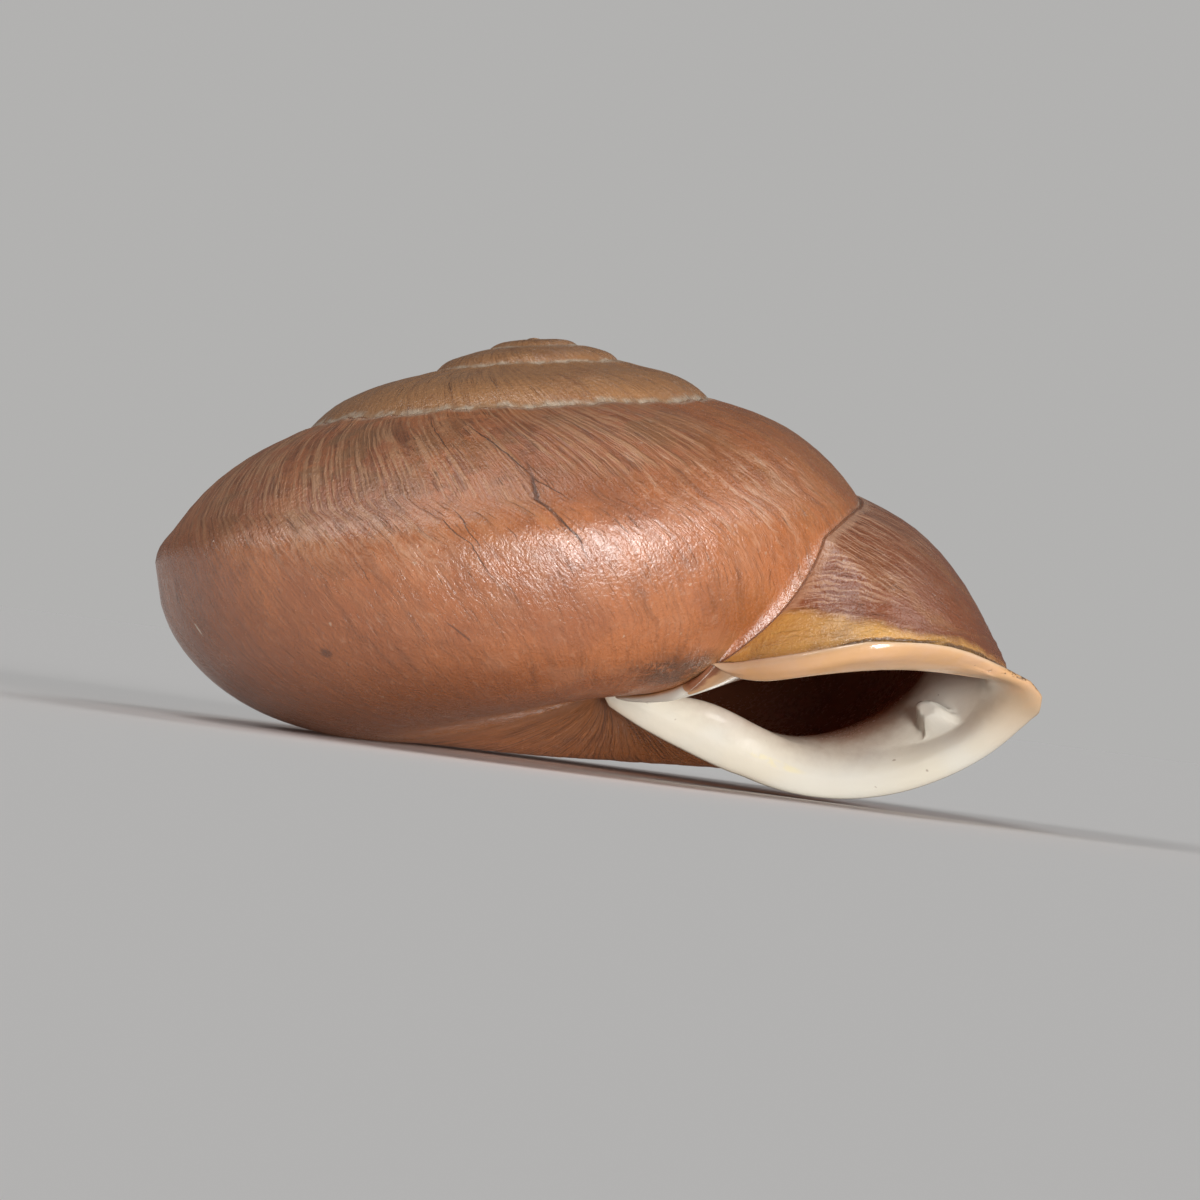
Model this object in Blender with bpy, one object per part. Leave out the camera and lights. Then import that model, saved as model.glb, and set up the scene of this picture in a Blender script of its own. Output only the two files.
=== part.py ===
"""Land snail shell, grown as one coiled wall from the apex to the mouth.

The wall is laid down turn by turn.  A radial section of the whorl runs from the suture, over the
shoulder and the periphery, under the base and in to the closed navel.  The section changes along
the coil as the guide tables below say, and every whorl starts on the whorl before it, where the
suture runs.  The mouth's edge is thickened into a rolled lip, and the hollow inside follows the
coil back from the mouth.  Lengths in the tables are millimetres and places along the coil are
turns, with whole turns on the right (+X) and the front (-Y) a quarter turn after them.
"""

import math

import bpy
import numpy as np
from mathutils import Matrix

MM = 0.001

# Where the growth ends, and how many turns the open tube is followed back into the coil.
MOUTH_TURN = 5.139
HOLLOW_TURNS = 1.35
# The coil is too fine to show before this turn.
APEX_TURN = 0.4

# Guides along the coil: turn, distance from the axis, height.
SHOULDER = (
    (0.0, 0.0, 23.8), (0.5, 1.0, 23.72), (1.0, 2.0, 23.5), (1.5, 3.2, 23.2), (2.0, 4.4, 22.6),
    (2.5, 6.4, 21.8), (3.0, 9.7, 20.3), (3.5, 13.8, 18.5), (4.0, 18.0, 15.2), (4.5, 21.5, 12.9),
    (4.75, 23.6, 11.0), (5.0, 25.7, 7.7), (5.06, 26.0, 7.2), (5.106, 25.3, 6.1), (5.139, 22.5, 3.2),
)
PERIPHERY = (
    (0.0, 0.3, 23.0), (1.0, 2.4, 22.6), (2.0, 5.6, 20.5), (3.0, 12.0, 16.5), (3.5, 15.6, 15.3),
    (4.0, 18.8, 12.5), (4.5, 22.8, 10.6), (4.75, 25.4, 8.0), (5.0, 26.5, 5.2), (5.047, 28.2, 3.9),
    (5.1, 28.4, 3.8), (5.139, 28.6, 3.0),
)
BASE = (
    (2.5, 4.5, 13.0), (3.0, 5.0, 10.5), (3.5, 6.0, 7.5), (4.0, 7.4, 4.0), (4.1, 7.7, 3.2),
    (4.19, 7.8, 2.9), (4.3, 7.9, 2.0), (4.5, 8.5, 0.3), (4.62, 9.9, -0.1), (4.75, 11.1, -1.0),
    (5.0, 17.0, -2.0), (5.139, 18.5, -2.2),
)
# Height at which the section meets the axis, as turn and height.
NAVEL_HEIGHT = ((2.5, 18.0), (3.0, 14.0), (3.5, 9.5), (4.0, 4.5), (4.139, 3.3))
# The closed navel lies a little off the axis, towards the mouth.
NAVEL_OFFSET = (3.4, -2.0)

# Crown of the whorl above the straight line from suture to shoulder, in degrees.
CROWN = ((0.0, 8.0), (3.0, 8.0), (3.5, 14.0), (4.0, 22.0), (4.5, 15.0), (5.0, 27.0), (5.139, 0.0))
# How sharp the periphery is, from 0 for round to 1 for a keel.
KEEL = ((0.0, 0.0), (4.5, 0.0), (4.8, 0.2), (5.0, 0.5), (5.06, 0.8), (5.151, 1.0))

# Along a section, span counts 0 at the suture, 1 shoulder, 2 periphery, 3 base, 4 navel.
# The next whorl starts at this span: the shoulder, until the last whorl drops to the mouth.
JOIN_SPAN = (
    (0.0, 1.0), (3.9, 1.0), (3.98, 1.2), (4.05, 1.5), (4.08, 1.78), (4.10, 2.05), (4.115, 2.25),
    (4.13, 2.45), (4.139, 2.57), (4.4, 2.2), (5.139, 1.9),
)
# How far the growth lines, and so the lip, lean back from the suture: span, degrees round the axis.
LEAN = ((0.0, 0.0), (0.5, 3.5), (1.0, 12.0), (1.5, 23.0), (2.0, 33.0), (3.0, 42.0), (4.0, 42.0))
LEAN_TURNS = 0.40

# Lip, stated round the mouth's edge: 0 to 4 is span along the whorl, and 4 to 5 crosses the body
# whorl from the navel back to the suture.  Then outward flare, forward thickness, inward swell.
LIP = (
    (0.0, 0.0, 0.3, 1.1), (0.3, 0.15, 0.9, 1.4), (1.0, 0.2, 1.2, 2.0), (1.7, 0.1, 1.2, 1.7),
    (2.0, 1.7, 1.1, 1.3), (2.4, 1.45, 1.0, 1.5), (3.0, 1.2, 0.9, 1.7), (3.5, 1.0, 0.8, 2.1),
    (3.85, 0.5, 0.5, 0.7), (4.0, 0.1, 0.25, 0.7), (4.15, -0.02, 0.25, 0.4), (4.6, -0.02, 0.2, 0.45),
    (5.0, 0.0, 0.3, 1.1),
)
# The lip's cross-section, as shares of its flare (or swell where negative) and thickness.
LIP_PROFILE = (
    (0.5, 0.05), (1.0, 0.35), (0.85, 0.8), (0.2, 1.0), (-0.45, 0.85), (-0.85, 0.4), (-1.0, -0.3),
)
# Where the mouth is narrow, the lip and the body whorl's glaze may fill these shares of it.
LIP_ROOM = 0.72
GLAZE_ROOM = 0.18
# Wall thickness inside the tube, round the same edge: the whorl's own wall, then the body's glaze.
WALL = ((0.0, 0.9), (4.0, 0.9), (4.1, 0.4), (5.0, 0.4))

# Spans filled at the hollow's corners: on the outer wall, and on the whorl that it sits on.
SUTURE_FILL = 0.3
PILLAR_FILL = 0.5
BODY_SUTURE_FILL = 0.75
BODY_PILLAR_FILL = 0.7
MOUTH_PILLAR_FILL = 0.4
# Turns from the mouth in which the lip's thickness gives way to the wall's.
FILL_TURNS = 0.08

# Curve handles, as shares of the stretch they bend.
HANDLE = 0.36
BELLY_DROP = 0.56
BELLY_REACH = 0.60
NAVEL_LEAD = 0.28
NAVEL_CURL = (0.4, 0.6)
# How much of the periphery's roundness a full keel takes away, and the flank's bulge in degrees.
KEEL_PINCH = 0.55
FLANK_BULGE = 14.0

# Mesh fineness: rows along the coil, spans across it, and rings down the hollow.
LEAN_ROWS = 20
STRAIGHT_ROWS = 28
SPIRE_SPANS = 7
WHORL_SPANS = 13
HOLLOW_RINGS = 26
# Spans crowd towards the suture, rows and rings towards the mouth.
SPAN_CROWDING = 0.35
ROW_CROWDING = 1.6
RING_CROWDING = 1.15
# Passes that even out the lip's inner edge and the hollow's rings.
LIP_EVENING = 1
TUBE_EVENING = 2

# How the shell settles on a table: it rolls about the front axis and pitches about the side axis.
REST_ROLL = -7.5
REST_PITCH = 0.9

SHELL_COLOUR = (0.30, 0.115, 0.055, 1.0)
SHELL_ROUGHNESS = 0.38


def guide(table, place):
    """Values of a guide table at the given places, on a smooth curve that never overshoots."""
    table = np.array(table, float)
    knots = table[:, 0]
    values = table[:, 1:]
    step = np.diff(knots)[:, None]
    slope = np.diff(values, axis=0) / step
    tangent = np.zeros_like(values)
    tangent[0] = slope[0]
    tangent[-1] = slope[-1]
    for i in range(1, len(knots) - 1):
        rising = slope[i - 1] * slope[i] > 0
        weight_in = 2 * step[i] + step[i - 1]
        weight_out = step[i] + 2 * step[i - 1]
        safe_in = np.where(rising, slope[i - 1], 1.0)
        safe_out = np.where(rising, slope[i], 1.0)
        mean = (weight_in + weight_out) / (weight_in / safe_in + weight_out / safe_out)
        tangent[i] = np.where(rising, mean, 0.0)
    place = np.clip(np.asarray(place, float), knots[0], knots[-1])
    k = np.clip(np.searchsorted(knots, place, side="right") - 1, 0, len(knots) - 2)
    width = step[k]
    t = ((place - knots[k]) / width[..., 0])[..., None]
    curve = (2 * t**3 - 3 * t**2 + 1) * values[k] + (3 * t**2 - 2 * t**3) * values[k + 1]
    curve = curve + width * ((t**3 - 2 * t**2 + t) * tangent[k] + (t**3 - t**2) * tangent[k + 1])
    return curve[..., 0] if curve.shape[-1] == 1 else curve


def length(vector):
    return np.maximum(np.linalg.norm(vector, axis=-1, keepdims=True), 1e-9)


def heading(vector):
    return vector / length(vector)


def turned(vector, degrees):
    """A flat vector turned anticlockwise."""
    angle = np.radians(degrees)
    x = vector[..., 0] * np.cos(angle) - vector[..., 1] * np.sin(angle)
    y = vector[..., 0] * np.sin(angle) + vector[..., 1] * np.cos(angle)
    return np.stack([x, y], -1)


def bezier(points, t):
    a, b, c, d = points
    return (1 - t) ** 3 * a + 3 * (1 - t) ** 2 * t * b + 3 * (1 - t) * t**2 * c + t**3 * d


def suture(turn):
    """Where the whorl starts: on the whorl one turn before it."""
    before = np.asarray(turn, float) - 1
    point = guide(SHOULDER, before)
    dropping = before > JOIN_SPAN[1][0]
    if dropping.any():
        point[dropping] = section(before[dropping], guide(JOIN_SPAN, before[dropping]))
    return point


def section(turn, span):
    """Distance from the axis and height of the whorl's outside, at a turn and a span."""
    turn, span = np.broadcast_arrays(np.asarray(turn, float), np.asarray(span, float))
    start = suture(turn)
    shoulder = guide(SHOULDER, turn)
    rim = guide(PERIPHERY, turn)
    base = guide(BASE, turn)
    navel = np.stack([np.zeros_like(turn), guide(NAVEL_HEIGHT, turn)], -1)
    round_rim = 1 - KEEL_PINCH * guide(KEEL, turn)[..., None]
    down = np.array([0.0, -1.0])
    inward = np.array([-1.0, 0.0])
    rise = turned(heading(shoulder - start), guide(CROWN, turn))
    fall = turned(heading(rim - start), -FLANK_BULGE)
    top = length(shoulder - start)
    side = length(rim - shoulder)
    drop = (rim - base)[..., 1:2]
    reach = (rim - base)[..., 0:1]
    floor = base[..., 0:1]
    crown = (start, start + HANDLE * top * rise, shoulder - HANDLE * top * fall, shoulder)
    flank = (shoulder, shoulder + HANDLE * side * fall, rim - HANDLE * side * round_rim * down, rim)
    belly = (rim, rim + BELLY_DROP * drop * round_rim * down, base - BELLY_REACH * reach * inward, base)
    curl = np.concatenate([NAVEL_CURL[0] * floor, NAVEL_CURL[1] * (base - navel)[..., 1:2]], -1)
    dish = (base, base + NAVEL_LEAD * floor * inward, navel + curl, navel)
    point = bezier(crown, span[..., None])
    for order, part in ((1, flank), (2, belly), (3, dish)):
        point = np.where((span >= order)[..., None], bezier(part, span[..., None] - order), point)
    return point


def coiled(turn, span):
    """The same point in space: turns run clockwise, seen from above."""
    flat = section(turn, span)
    angle = -2 * math.pi * (np.asarray(turn, float) - 5.0)
    inner = np.clip(np.asarray(span, float) - 3, 0, 1)
    pull = inner * inner * (3 - 2 * inner)
    x = flat[..., 0] * np.cos(angle) + NAVEL_OFFSET[0] * pull
    y = flat[..., 0] * np.sin(angle) + NAVEL_OFFSET[1] * pull
    return np.stack([x, y, flat[..., 1]], -1)


def row_turns():
    """Turns of the rows, whole turns apart where one whorl sits on another."""
    lean_from = MOUTH_TURN - LEAN_TURNS
    straight = np.linspace(MOUTH_TURN - 1, lean_from, STRAIGHT_ROWS + 1)[1:]
    leaning = MOUTH_TURN - LEAN_TURNS * np.linspace(1, 0, LEAN_ROWS + 1)[1:] ** ROW_CROWDING
    last = np.concatenate([straight, leaning])
    turns = np.concatenate([last - back for back in range(math.ceil(MOUTH_TURN), -1, -1)])
    return turns[turns > APEX_TURN]


def under_steps():
    """Shares of the way from the join to the navel, closer together at the start."""
    share = np.arange(1, WHORL_SPANS + 1) / WHORL_SPANS
    return share * (1 + SPAN_CROWDING * (share - 1))


def lean_at(turn, span):
    """Turn of a point in a row that leans back more and more towards the mouth."""
    lean_from = MOUTH_TURN - LEAN_TURNS
    share = np.clip((turn - lean_from) / LEAN_TURNS, 0, 1)
    return turn - share * guide(LEAN, span) / 360


class Skin:
    """Vertices and faces of the closed wall."""

    def __init__(self):
        self.points = []
        self.faces = []

    def add(self, points):
        first = len(self.points)
        self.points.extend(points)
        return list(range(first, len(self.points)))

    def strip(self, lower, upper, closed=False):
        """Faces between two rows of the same length, leaving out edges that have shrunk away."""
        count = len(lower)
        for i in range(count if closed else count - 1):
            k = (i + 1) % count
            corners = []
            for corner in (lower[i], upper[i], upper[k], lower[k]):
                if corner not in corners:
                    corners.append(corner)
            if len(corners) > 2:
                self.faces.append(corners)


def outside(skin):
    """The wall's outer face; gives back the two rows that border the mouth, and their spans."""
    turns = row_turns()
    per_turn = LEAN_ROWS + STRAIGHT_ROWS
    last = len(turns) - 1
    apex = skin.add([(0.0, 0.0, SHOULDER[0][2])])[0]
    navel = skin.add([coiled(MOUTH_TURN, 4.0)])[0]
    joins = []
    rows = []
    for number, turn in enumerate(turns):
        whole = number >= last - per_turn
        join = float(guide(JOIN_SPAN, turn))
        spans = np.linspace(0, join, SPIRE_SPANS + 1)
        if whole:
            spans = np.concatenate([spans, join + (4 - join) * under_steps()])
        places = coiled(lean_at(turn, spans), spans)
        first = apex if number < per_turn else joins[number - per_turn]
        if number == 0:
            row = [apex] + skin.add(places[-1:]) * SPIRE_SPANS
        elif whole:
            row = [first] + skin.add(places[1:-1]) + [navel]
        else:
            row = [first] + skin.add(places[1:])
        joins.append(row[SPIRE_SPANS])
        if rows:
            short = min(len(rows[-1]), len(row))
            skin.strip(rows[-1][:short], row[:short])
        rows.append(row)
    return rows[last], rows[last - per_turn], spans


def mouth_frame(stations, back, blunt=0.0):
    """Points round the tube's edge, some turns back from the mouth, the way it grew, and outwards.

    Blunt is 1 deep in the tube, where its corners at the suture and at the axis are filled.
    """
    outer = stations <= 4
    fresh = 1 - np.clip(back / LEAN_TURNS, 0, 1)
    first = blunt * SUTURE_FILL
    last = 4 - blunt * PILLAR_FILL
    on_whorl = np.where(outer, first + (last - first) * stations / 4, 0)
    first = 4 - blunt * (BODY_PILLAR_FILL + MOUTH_PILLAR_FILL * fresh)
    last = guide(JOIN_SPAN, MOUTH_TURN - 1 - back) + blunt * BODY_SUTURE_FILL
    across = np.where(outer, 4, first + (last - first) * (stations - 4))
    lean = fresh * guide(LEAN, on_whorl) / 360

    def at(shift):
        wall = coiled(MOUTH_TURN - back + shift - lean, on_whorl)
        body = coiled(MOUTH_TURN - 1 - back + shift, across)
        return np.where(outer[:, None], wall, body)

    nudge = 0.004
    place = at(0.0)
    forward = heading(at(nudge) - at(-nudge))
    if blunt:
        along = np.concatenate([np.gradient(place[part], axis=0) for part in (outer, ~outer)])
        return place, forward, heading(np.cross(forward, along))
    forward = smoothed(forward, 2)
    along = np.roll(place, -1, 0) - np.roll(place, 1, 0)
    return place, forward, smoothed(heading(np.cross(forward, along)), 2)


def room_across(place, stations):
    """How far the lip may swell before it meets the other side of the mouth."""
    outer = stations <= 4
    apart = np.linalg.norm(place[:, None] - place[None], axis=2)
    apart = np.where(outer[:, None] == outer[None], np.inf, apart).min(1)
    return apart * np.where(outer, LIP_ROOM, GLAZE_ROOM)


def smoothed(vectors, times):
    for _ in range(times):
        vectors = heading(vectors + 0.5 * (np.roll(vectors, 1, 0) + np.roll(vectors, -1, 0)))
    return vectors


def relaxed(points, ends, times):
    """Points evened out along each stretch of the loop between the given ends."""
    points = points.copy()
    for _ in range(times):
        middle = (np.roll(points, 1, 0) + 2 * points + np.roll(points, -1, 0)) / 4
        middle[ends] = points[ends]
        points = middle
    return points


def add_lip(skin, loop, stations, on_wall, corners):
    """The rolled lip round the mouth's edge; gives back its inner edge and how far that swells in."""
    place, forward, outward = mouth_frame(stations, 0.0)
    flare, thick, swell = guide(LIP, stations).T[:, :, None]
    swell = np.minimum(swell, room_across(place, stations)[:, None])
    ring = loop
    for out, ahead in LIP_PROFILE:
        spot = place + outward * out * (flare if out > 0 else swell) + forward * thick * ahead
        if out < 0:
            spot = relaxed(spot, corners, LIP_EVENING)
        # The lip runs out to nothing at the axis.
        following = skin.add(np.delete(spot, on_wall - 1, 0))
        following.insert(on_wall - 1, loop[on_wall - 1])
        skin.strip(ring, following, closed=True)
        ring = following
    return ring, swell


def add_hollow(skin, ring, swell, stations, on_wall, corners):
    """The tube inside, from the lip's inner edge back to a blind end."""
    on_body = len(stations) - on_wall
    even = np.concatenate([np.linspace(0, 4, on_wall), np.linspace(4, 5, on_body + 1)[1:]])
    backs = HOLLOW_TURNS * (np.arange(1, HOLLOW_RINGS + 1) / HOLLOW_RINGS) ** RING_CROWDING
    for back in backs:
        deep = min(back / FILL_TURNS, 1)
        spread = stations + deep * (even - stations)
        place, _, outward = mouth_frame(spread, back, deep)
        wall = guide(WALL, spread)[:, None]
        spot = place - outward * (swell + deep * (wall - swell))
        following = skin.add(relaxed(spot, corners, TUBE_EVENING))
        skin.strip(ring, following, closed=True)
        ring = following
    # The blind end is closed by rungs from the suture corner down to the pillar.
    body_side = ring[on_wall:][::-1]
    share = np.linspace(0, on_body - 1, on_wall)
    skin.strip(ring[:on_wall], [body_side[k] for k in np.rint(share).astype(int)])


def build_shell():
    skin = Skin()
    edge, across, spans = outside(skin)
    loop = edge + across[SPIRE_SPANS + 1:-1][::-1]
    stations = np.concatenate([spans, 5 - under_steps()[:-1][::-1]])
    on_wall = len(edge)
    corners = [0, on_wall - 2, on_wall - 1, on_wall, len(loop) - 1]
    ring, swell = add_lip(skin, loop, stations, on_wall, corners)
    add_hollow(skin, ring, swell, stations, on_wall, corners)
    return skin


def settled(points):
    """Points turned as the shell lies on a table, with the middle of its foot at the origin."""
    roll = Matrix.Rotation(math.radians(REST_ROLL), 3, "Y")
    pitch = Matrix.Rotation(math.radians(REST_PITCH), 3, "X")
    points = np.array(points) @ np.array(pitch @ roll).T
    low = points.min(0)
    high = points.max(0)
    return points - np.array([(low[0] + high[0]) / 2, (low[1] + high[1]) / 2, low[2]])


def shell_material():
    material = bpy.data.materials.new("brown shell")
    material.use_nodes = True
    surface = material.node_tree.nodes["Principled BSDF"]
    surface.inputs["Base Color"].default_value = SHELL_COLOUR
    surface.inputs["Roughness"].default_value = SHELL_ROUGHNESS
    return material


def main():
    for item in list(bpy.data.objects):
        bpy.data.objects.remove(item, do_unlink=True)
    skin = build_shell()
    mesh = bpy.data.meshes.new("shell")
    mesh.from_pydata((settled(skin.points) * MM).tolist(), [], skin.faces)
    mesh.validate()
    mesh.shade_smooth()
    mesh.materials.append(shell_material())
    shell = bpy.data.objects.new("shell", mesh)
    bpy.context.scene.collection.objects.link(shell)


main()
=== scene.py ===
"""A land snail shell: one coiled wall with a brown skin, a rolled white lip and a dark hollow.

The wall is set out on a flat sheet, where every point has a turn round the axis, a distance from the
axis and a height.  A Geometry Nodes tree then coils the sheet, raises the growth ridges on it and
lays the shell down as it rests.  Lengths are millimetres until the tree has done its work.
"""

import math

import bmesh
import bpy
import numpy as np
from mathutils import Matrix, Vector


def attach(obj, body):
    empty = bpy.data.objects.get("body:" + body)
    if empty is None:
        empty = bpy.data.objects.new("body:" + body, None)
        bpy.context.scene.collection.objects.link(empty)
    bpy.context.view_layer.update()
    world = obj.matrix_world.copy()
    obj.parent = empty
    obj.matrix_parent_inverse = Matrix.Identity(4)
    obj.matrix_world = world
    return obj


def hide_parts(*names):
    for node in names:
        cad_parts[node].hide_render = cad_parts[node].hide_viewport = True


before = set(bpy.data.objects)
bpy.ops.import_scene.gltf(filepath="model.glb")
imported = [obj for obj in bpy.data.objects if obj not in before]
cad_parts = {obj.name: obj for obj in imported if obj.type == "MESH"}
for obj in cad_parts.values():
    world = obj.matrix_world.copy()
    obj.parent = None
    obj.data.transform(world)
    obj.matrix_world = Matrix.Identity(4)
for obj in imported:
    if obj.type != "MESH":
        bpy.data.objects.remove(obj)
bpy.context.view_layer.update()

MM = 0.001
SEED = 11

# Where the growth ends, and how many turns the open tube is followed back into the coil.
MOUTH_TURN = 5.139
HOLLOW_TURNS = 1.35
# The coil is too fine to show before this turn.
APEX_TURN = 0.4
# At this turn, as at every whole one, the coil passes the x axis.
AXIS_TURN = 5.0

# Guides along the coil: turn, distance from the axis, height.
SHOULDER = (
    (0.0, 0.0, 23.8), (0.5, 1.0, 23.72), (1.0, 2.0, 23.5), (1.5, 3.2, 23.2), (2.0, 4.4, 22.6),
    (2.5, 6.4, 21.8), (3.0, 9.7, 20.3), (3.5, 13.8, 18.5), (4.0, 18.0, 15.2), (4.5, 21.5, 12.9),
    (4.75, 23.6, 11.0), (5.0, 25.7, 7.7), (5.06, 26.0, 7.2), (5.106, 25.3, 6.1), (5.139, 22.5, 3.2),
)
PERIPHERY = (
    (0.0, 0.3, 23.0), (1.0, 2.4, 22.6), (2.0, 5.6, 20.5), (3.0, 12.0, 16.5), (3.5, 15.6, 15.3),
    (4.0, 18.8, 12.5), (4.5, 22.8, 10.6), (4.75, 25.4, 8.0), (5.0, 26.4, 5.2), (5.047, 27.8, 3.9),
    (5.1, 27.9, 3.8), (5.139, 28.1, 3.0),
)
BASE = (
    (2.5, 4.5, 13.0), (3.0, 5.0, 10.5), (3.5, 6.0, 7.5), (4.0, 7.4, 4.0), (4.1, 7.7, 3.2),
    (4.19, 7.8, 2.9), (4.3, 7.9, 2.0), (4.5, 8.5, 0.3), (4.62, 9.9, -0.1), (4.75, 11.1, -1.0),
    (5.0, 17.0, -2.0), (5.139, 18.5, -2.2),
)
# Height at which the section meets the axis, as turn and height.
NAVEL_HEIGHT = ((2.5, 18.0), (3.0, 14.0), (3.5, 9.5), (4.0, 4.5), (4.139, 3.3))
# The closed navel lies a little off the axis, towards the mouth.
NAVEL_OFFSET = (3.4, -2.0)

# Crown of the whorl above the straight line from suture to shoulder, in degrees.
CROWN = ((0.0, 8.0), (3.0, 8.0), (3.5, 14.0), (4.0, 22.0), (4.5, 15.0), (5.0, 27.0), (5.139, 0.0))
# How sharp the periphery is, from 0 for round to 1 for a keel.
KEEL = ((0.0, 0.0), (4.5, 0.0), (4.8, 0.2), (5.0, 0.5), (5.06, 0.8), (5.151, 1.0))

# Along a section, span counts 0 at the suture, 1 shoulder, 2 periphery, 3 base, 4 navel.
# The next whorl starts at this span: the shoulder, until the last whorl drops to the mouth.
JOIN_SPAN = (
    (0.0, 1.0), (3.9, 1.0), (3.98, 1.2), (4.05, 1.5), (4.08, 1.78), (4.10, 2.05), (4.115, 2.25),
    (4.13, 2.45), (4.139, 2.57), (4.4, 2.2), (5.139, 1.9),
)
# The suture wavers by this much of a span; each wave is waves per turn, share and start.
SUTURE_WAVER = 0.012
SUTURE_WAVES = ((9, 1.0, 0.3), (23, 0.8, 2.1), (41, 0.5, 4.0), (67, 0.4, 1.2))
WAVER_STARTS = (1.0, 2.0)
WAVER_ENDS = (4.05, 4.12)
# How far the growth lines, and so the lip, lean back from the suture: span, degrees round the axis.
LEAN = (
    (0.0, 0.0), (0.25, 1.7), (0.5, 3.3), (0.75, 6.0), (1.0, 11.2), (1.25, 18.6), (1.5, 25.0), (1.75, 31.0),
    (2.0, 34.8), (3.0, 42.0), (4.0, 42.0),
)
LEAN_TURNS = 0.40
# The same for the growth lines of the earlier whorls, which give way to the lip's lean.
EARLY_LEAN = (
    (0.0, 0.0), (0.25, 6.0), (0.5, 12.0), (1.0, 21.5), (1.3, 25.0), (2.0, 31.0), (2.3, 38.0),
    (3.0, 45.0), (4.0, 48.0),
)
EARLY_LEAN_ENDS = (4.55, 5.0)

# Lip, stated round the mouth's edge: 0 to 4 is span along the whorl, and 4 to 5 crosses the body
# whorl from the navel back to the suture.  Then outward flare, forward thickness, inward swell.
LIP = (
    (0.0, 0.05, 0.3, 1.1), (0.3, 0.2, 0.9, 1.4), (1.0, 0.3, 1.2, 1.9), (1.7, 0.2, 1.2, 1.7),
    (2.0, 2.05, 1.1, 1.0), (2.4, 1.6, 1.0, 0.9), (2.7, 1.25, 0.9, 1.3), (3.0, 1.05, 0.9, 1.7),
    (3.5, 0.8, 0.8, 2.3), (3.7, 0.7, 0.65, 2.4), (3.85, 0.5, 0.5, 1.3),
    (4.0, 0.1, 0.25, 0.5), (4.15, -0.02, 0.25, 0.25),
    (4.6, -0.02, 0.2, 0.3), (5.0, 0.05, 0.3, 1.1),
)
# How far the flared edge hangs down, at the tip of the keel and at the tongue by the axis.
DROOP = (
    (0.0, 0.0), (1.75, 0.0), (1.85, 0.3), (1.9, 0.7), (1.95, 1.0), (2.0, 1.1), (2.05, 0.95), (2.1, 0.65),
    (2.2, 0.15), (2.3, 0.0), (3.4, 0.0), (3.5, 0.14), (3.6, 0.25), (3.7, 0.35), (3.8, 0.50), (3.9, 0.62),
    (3.96, 0.65), (4.0, 0.35), (4.05, 0.0), (5.0, 0.0),
)
# Where the lip's inner half slopes straight on into the tube instead of rolling over: place, share.
FUNNEL = ((0.0, 0.0), (1.6, 0.0), (2.0, 1.0), (2.9, 1.0), (3.4, 0.0), (5.0, 0.0))
# The share of the lip's rings that lead out from the wall, before the lip rolls over.
LIP_START = 0.12
# Where the mouth is narrow, the lip and the body whorl's glaze may fill these shares of it.
LIP_ROOM = 0.72
GLAZE_ROOM = 0.18
# The glaze on the body whorl thins out over this many millimetres, below this span.
GLAZE_EDGE = 1.6
GLAZE_SPAN = 2.5
# Wall thickness inside the tube, round the same edge: the whorl's own wall, then the body's glaze.
WALL = ((0.0, 0.9), (4.0, 0.9), (4.1, 0.4), (5.0, 0.4))
# Just behind the lip the wall is thicker still: place round the edge and millimetres added, then
# how many turns back the swelling is highest.
THROAT = ((0.0, 0.0), (1.7, 0.0), (2.0, 1.5), (2.3, 2.4), (2.8, 2.2), (3.2, 1.2), (3.6, 0.0), (5.0, 0.0))
THROAT_TURNS = 0.05

# The knob in the mouth: place round the edge, millimetres in from the lip, and its height.
KNOB_AROUND = 2.54
KNOB_IN = 0.65
KNOB_HEIGHT = 1.25
# Its slopes: towards the keel, towards the base, and along the tube.
KNOB_SLOPES = (0.95, 0.90, 0.95)
# It is full height out to the first of these and gone past the second.
KNOB_REACH = (0.65, 1.4)

# Spans filled at the hollow's corners: on the outer wall, and on the whorl that it sits on.
SUTURE_FILL = 0.3
PILLAR_FILL = 0.5
BODY_SUTURE_FILL = 0.75
BODY_PILLAR_FILL = 0.7
MOUTH_PILLAR_FILL = 0.4
# Turns from the mouth in which the lip's thickness gives way to the wall's.
FILL_TURNS = 0.08

# Curve handles, as shares of the stretch they bend.
HANDLE = 0.36
RIM_HANDLE = 0.44
BELLY_DROP = 0.56
BELLY_REACH = 0.60
NAVEL_LEAD = 0.28
NAVEL_CURL = (0.4, 0.6)
# How much of the periphery's roundness a full keel takes away, and the flank's bulge in degrees.
KEEL_PINCH = 0.55
FLANK_BULGE = 14.0

# Mesh fineness: rows along the coil, spans across it, and rings over the lip and down the hollow.
LEAN_ROWS = 190
STRAIGHT_ROWS = 230
SPIRE_SPANS = 18
WHORL_SPANS = 92
LIP_RINGS = 18
HOLLOW_RINGS = 72
# Spans crowd towards the suture, rows and rings towards the mouth.
SUTURE_CROWDING = 1.5
SPAN_CROWDING = 0.35
ROW_CROWDING = 1.25
RING_CROWDING = 2.4
# Passes that even out the lip's directions, its inner edge and the hollow's rings.
FRAME_EVENING = 12
LIP_EVENING = 4
TUBE_EVENING = 6

# How the shell settles on a table: it rolls about the front axis and pitches about the side axis.
REST_ROLL = -7.5
REST_PITCH = 0.9

# What the finish needs to know at each point of the wall: the turn when it was laid, millimetres
# below the suture, millimetres in over the lip (negative behind it), place round the mouth's edge,
# how much glaze the animal left there, and spans past the foot where the next whorl sits.
MARKS = ("grown", "below", "inward", "around", "glaze", "foot")


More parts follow.
